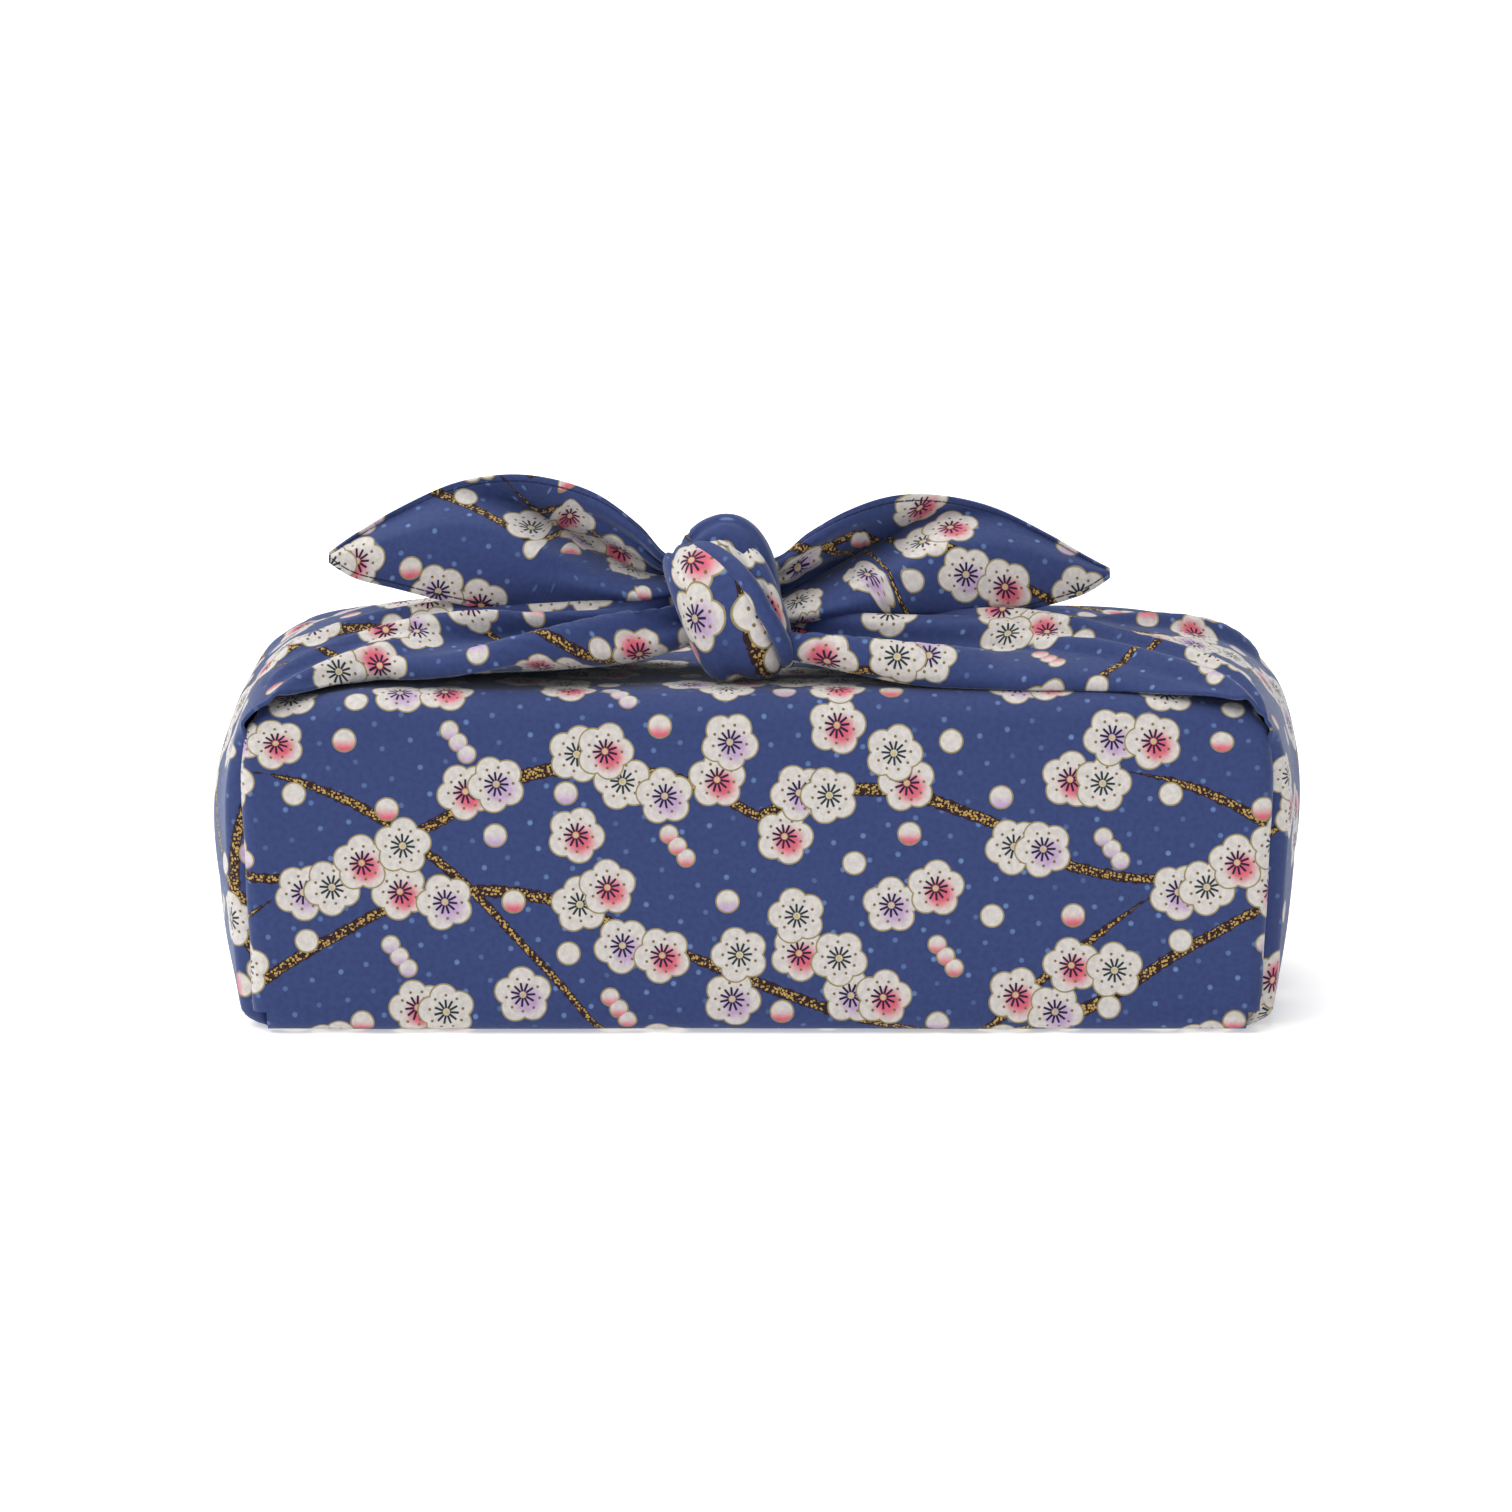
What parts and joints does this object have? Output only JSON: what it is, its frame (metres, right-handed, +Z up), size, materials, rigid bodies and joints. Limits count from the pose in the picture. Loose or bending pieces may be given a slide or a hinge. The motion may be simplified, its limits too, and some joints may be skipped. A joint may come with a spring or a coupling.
{
  "type": "furoshiki bag",
  "caption": "Square cotton wrapping cloth folded round a long low box and tied on top in a square knot with upright free ends.",
  "frame": {"origin": "middle of the bag's footprint, on the surface it stands on", "axes": "+X along the bag's length, to the right seen from the front; -Y towards the front; +Z up"},
  "size_m": [0.2074, 0.0896, 0.102],
  "materials": {
    "printed_cotton": "matt printed cotton, blue with small blossoms"
  },
  "bodies": {
    "root": {"furoshiki_cloth": "printed_cotton"}
  },
  "joints": []
}
